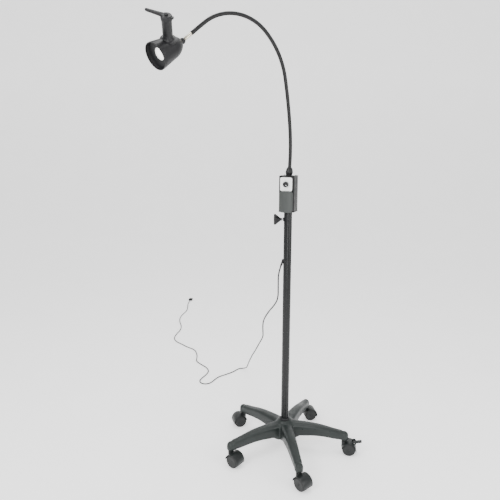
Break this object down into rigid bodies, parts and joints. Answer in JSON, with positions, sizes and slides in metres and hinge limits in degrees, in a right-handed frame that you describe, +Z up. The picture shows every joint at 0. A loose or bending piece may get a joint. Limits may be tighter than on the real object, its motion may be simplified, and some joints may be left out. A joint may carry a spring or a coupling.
{
  "type": "examination lamp",
  "caption": "Mobile examination lamp with a bullet-shaped head on a gooseneck, control box, height-adjustable pole and castor base.",
  "frame": {"origin": "where the pole's axis meets the floor", "axes": "+Z up along the pole, -Y out of the control box's front"},
  "size_m": [1.8636, 2.2508, 1.8797],
  "materials": {
    "base_nylon": "satin moulded, fine grain",
    "black_plastic": "satin",
    "black_paint": "satin powder coat",
    "lead_rubber": "soft matte",
    "nickel": "bright",
    "steel": "plain",
    "chrome_mast": "polished",
    "box_black": "satin",
    "cover_grey": "satin moulded",
    "plate_white": "gloss",
    "board_green": "lacquered",
    "chrome_sleeve": "polished",
    "lamp_black": "fine texture",
    "lens_glass": "clear",
    "reflector_bright": "polished",
    "led_yellow": "gloss",
    "aluminium": "cast",
    "castor_plastic": "satin moulded",
    "wheel_nylon": "satin moulded",
    "neck_black": "smooth PVC"
  },
  "bodies": {
    "base": {"star_base": "base_nylon", "hub_collar": "black_plastic", "pole_tube": "black_paint", "pole_foot_plug": "black_plastic", "mast_bush": "black_plastic", "clamp_boss": "black_paint", "strain_relief": "lead_rubber", "mains_lead": "lead_rubber", "plug_body": "lead_rubber", "plug_pins": "nickel"},
    "clamp": {"clamp_screw": "steel", "clamp_knob": "black_plastic"},
    "mast": {"inner_mast": "chrome_mast"},
    "control_box": {"box_shell": "box_black", "box_top_cap": "box_black", "box_bottom_cap": "box_black", "front_cover": "cover_grey", "switch_plate": "plate_white", "dimmer_switch": "black_plastic", "driver_board": "board_green", "power_converter": "black_plastic", "cap_screws": "steel", "neck_ferrule": "black_plastic", "neck_span_1": "neck_black"},
    "dial": {"dial_knob": "black_plastic", "dial_shaft": "steel"},
    "neck_2": {"neck_span_2": "neck_black"},
    "neck_3": {"neck_span_3": "neck_black"},
    "neck_4": {"neck_span_4": "neck_black"},
    "neck_5": {"neck_span_5": "neck_black"},
    "neck_6": {"neck_span_6": "neck_black", "neck_sleeve": "chrome_sleeve"},
    "head": {"ball_socket": "lamp_black", "lamp_housing": "lamp_black", "hood_ring": "lamp_black", "lens_baffle": "lamp_black", "lens": "lens_glass", "reflector": "reflector_bright", "led_module": "led_yellow", "heat_sink": "aluminium", "handle_stem": "lamp_black", "lever_screw": "steel"},
    "lever": {"handle_lever": "lamp_black"},
    "castor_1": {"castor_1_hood": "castor_plastic", "castor_1_stem": "steel", "brake_pin": "steel"},
    "wheels_1": {"castor_1_wheels": "wheel_nylon"},
    "brake": {"brake_pedal": "castor_plastic"},
    "castor_2": {"castor_2_hood": "castor_plastic", "castor_2_stem": "steel"},
    "wheels_2": {"castor_2_wheels": "wheel_nylon"},
    "castor_3": {"castor_3_hood": "castor_plastic", "castor_3_stem": "steel"},
    "wheels_3": {"castor_3_wheels": "wheel_nylon"},
    "castor_4": {"castor_4_hood": "castor_plastic", "castor_4_stem": "steel"},
    "wheels_4": {"castor_4_wheels": "wheel_nylon"},
    "castor_5": {"castor_5_hood": "castor_plastic", "castor_5_stem": "steel"},
    "wheels_5": {"castor_5_wheels": "wheel_nylon"}
  },
  "joints": [
    {"name": "castor_1_swivel", "type": "hinge", "parent": "base", "child": "castor_1", "pos_m": [0.26718, 0.06513, 0.07], "axis": [0, 0, 1], "continuous": true},
    {"name": "castor_1_roll", "type": "hinge", "parent": "castor_1", "child": "wheels_1", "pos_m": [0.28855, 0.07034, 0.03], "axis": [-0.2368, 0.9715, 0], "continuous": true},
    {"name": "brake_press", "type": "hinge", "parent": "castor_1", "child": "brake", "pos_m": [0.3109, 0.07579, 0.061], "axis": [-0.2368, 0.9715, 0], "range_deg": [0, 12]},
    {"name": "castor_2_swivel", "type": "hinge", "parent": "base", "child": "castor_2", "pos_m": [0.02062, 0.27423, 0.07], "axis": [0, 0, 1], "continuous": true},
    {"name": "castor_2_roll", "type": "hinge", "parent": "castor_2", "child": "wheels_2", "pos_m": [0.03886, 0.28653, 0.03], "axis": [-0.5592, 0.829, 0], "continuous": true},
    {"name": "castor_3_swivel", "type": "hinge", "parent": "base", "child": "castor_3", "pos_m": [-0.25443, 0.10435, 0.07], "axis": [0, 0, 1], "continuous": true},
    {"name": "castor_3_roll", "type": "hinge", "parent": "castor_3", "child": "wheels_3", "pos_m": [-0.27078, 0.08963, 0.03], "axis": [0.6691, -0.7431, 0], "continuous": true},
    {"name": "castor_4_swivel", "type": "hinge", "parent": "base", "child": "castor_4", "pos_m": [-0.17787, -0.20973, 0.07], "axis": [0, 0, 1], "continuous": true},
    {"name": "castor_4_roll", "type": "hinge", "parent": "castor_4", "child": "wheels_4", "pos_m": [-0.15662, -0.21543, 0.03], "axis": [0.2588, 0.9659, 0], "continuous": true},
    {"name": "castor_5_swivel", "type": "hinge", "parent": "base", "child": "castor_5", "pos_m": [0.1445, -0.23397, 0.07], "axis": [0, 0, 1], "continuous": true},
    {"name": "castor_5_roll", "type": "hinge", "parent": "castor_5", "child": "wheels_5", "pos_m": [0.16428, -0.24362, 0.03], "axis": [0.4384, 0.8988, 0], "continuous": true},
    {"name": "clamp_turn", "type": "hinge", "parent": "base", "child": "clamp", "pos_m": [0, 0, 1.083], "axis": [-0.9205, -0.3907, 0], "range_deg": [0, 540]},
    {"name": "mast_slide", "type": "slide", "parent": "base", "child": "mast", "axis": [0, 0, 1], "range_m": [0, 0.35]},
    {"name": "mast_swivel", "type": "hinge", "parent": "mast", "child": "control_box", "pos_m": [0, 0, 1.12], "axis": [0, 0, 1], "range_deg": [-170, 170]},
    {"name": "dial_turn", "type": "hinge", "parent": "control_box", "child": "dial", "pos_m": [0, -0.03, 1.233], "axis": [0, -1, 0], "range_deg": [0, 270]},
    {"name": "neck_bend_2", "type": "hinge", "parent": "control_box", "child": "neck_2", "pos_m": [0.00099, 0.00099, 1.46874], "axis": [0.7071, -0.7071, 0], "range_deg": [-18, 18]},
    {"name": "neck_bend_3", "type": "hinge", "parent": "neck_2", "child": "neck_3", "pos_m": [-0.01583, -0.01583, 1.65114], "axis": [0.7071, -0.7071, 0], "range_deg": [-18, 18]},
    {"name": "neck_bend_4", "type": "hinge", "parent": "neck_3", "child": "neck_4", "pos_m": [-0.07627, -0.07627, 1.81759], "axis": [0.7071, -0.7071, 0], "range_deg": [-18, 18]},
    {"name": "neck_bend_5", "type": "hinge", "parent": "neck_4", "child": "neck_5", "pos_m": [-0.16059, -0.16059, 1.87186], "axis": [0.7071, -0.7071, 0], "range_deg": [-18, 18]},
    {"name": "neck_bend_6", "type": "hinge", "parent": "neck_5", "child": "neck_6", "pos_m": [-0.24893, -0.24893, 1.8324], "axis": [0.7071, -0.7071, 0], "range_deg": [-18, 18]},
    {"name": "head_swivel", "type": "hinge", "parent": "neck_6", "child": "head", "pos_m": [-0.30954, -0.30954, 1.76188], "axis": [-0.543, -0.543, -0.6405], "range_deg": [-150, 150]},
    {"name": "lever_turn", "type": "hinge", "parent": "head", "child": "lever", "pos_m": [-0.29668, -0.43426, 1.81506], "axis": [0.3262, -0.6016, 0.7292], "range_deg": [-40, 40]}
  ]
}
